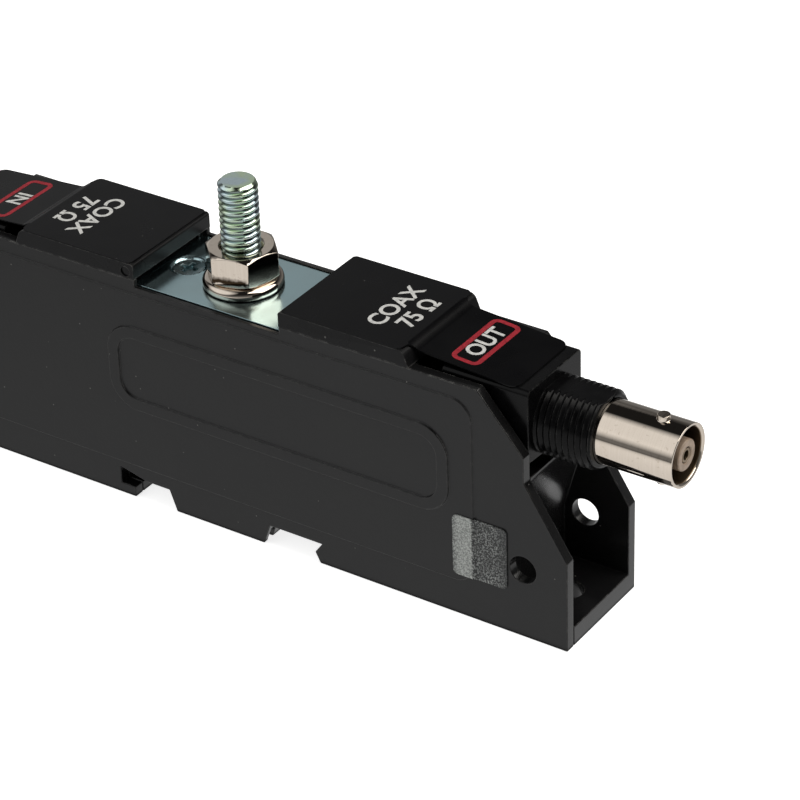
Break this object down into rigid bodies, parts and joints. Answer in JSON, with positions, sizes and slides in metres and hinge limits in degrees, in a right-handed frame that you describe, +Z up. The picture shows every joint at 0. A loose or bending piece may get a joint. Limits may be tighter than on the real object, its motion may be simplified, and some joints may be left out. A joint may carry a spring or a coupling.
{
  "type": "coax lightning arrestor",
  "caption": "Slim in-line coax surge barrier with a bayonet socket at each end, an earth stud on top, mounting ears and a clip-on rail foot.",
  "frame": {"origin": "on the base plane of the feet, under the axis of the earth stud", "axes": "+X along the body to the clean port, -Y to the side cover with its raised panel, +Z up along the earth stud"},
  "size_m": [0.1504, 0.0195, 0.0553],
  "materials": {
    "housing_plastic": "moulded, semi-matt charcoal",
    "cap_plastic": "moulded, satin black",
    "jack_plastic": "moulded, glossy black",
    "label_film": "satin black printed film",
    "foil_label": "speckled grey film",
    "zinc_plate": "bright zinc plated steel",
    "zinc_stud": "clear passivated zinc plated steel",
    "nickel": "bright nickel plated",
    "brass": "turned brass",
    "board": "glass-epoxy board",
    "insulator": "natural moulded plastic",
    "tube_ceramic": "glazed ceramic",
    "coil": "lacquered winding",
    "diode": "moulded epoxy"
  },
  "bodies": {
    "base": {"housing": "housing_plastic", "side_cover": "housing_plastic", "clean_cap": "cap_plastic", "line_cap": "cap_plastic", "clean_label": "label_film", "line_label": "label_film", "side_label": "foil_label", "earth_plate": "zinc_plate", "earth_stud": "zinc_stud", "plate_screw": "zinc_stud", "earth_pillar": "brass", "pillar_screw": "zinc_stud", "circuit_board": "board", "clean_jack_body": "jack_plastic", "clean_jack_barrel": "nickel", "clean_jack_insulator": "insulator", "clean_jack_contact": "brass", "line_jack_body": "jack_plastic", "line_jack_barrel": "nickel", "line_jack_insulator": "insulator", "line_jack_contact": "brass", "gas_tube": "tube_ceramic", "series_coil": "coil", "forward_diode": "diode", "reverse_diode": "diode"},
    "washer": {"earth_washer": "nickel"},
    "nut": {"earth_nut": "nickel"}
  },
  "joints": [
    {"name": "nut_turn", "type": "hinge", "parent": "base", "child": "washer", "pos_m": [0, 0, 0.03815], "axis": [0, 0, 1], "range_deg": [0, 3240]},
    {"name": "nut_travel", "type": "slide", "parent": "washer", "child": "nut", "axis": [0, 0, 1], "range_m": [0, 0.00901]}
  ],
  "couplings": [
    {"joint": "nut_travel", "follows": "nut_turn", "m_per_rad": 0.00015915}
  ]
}
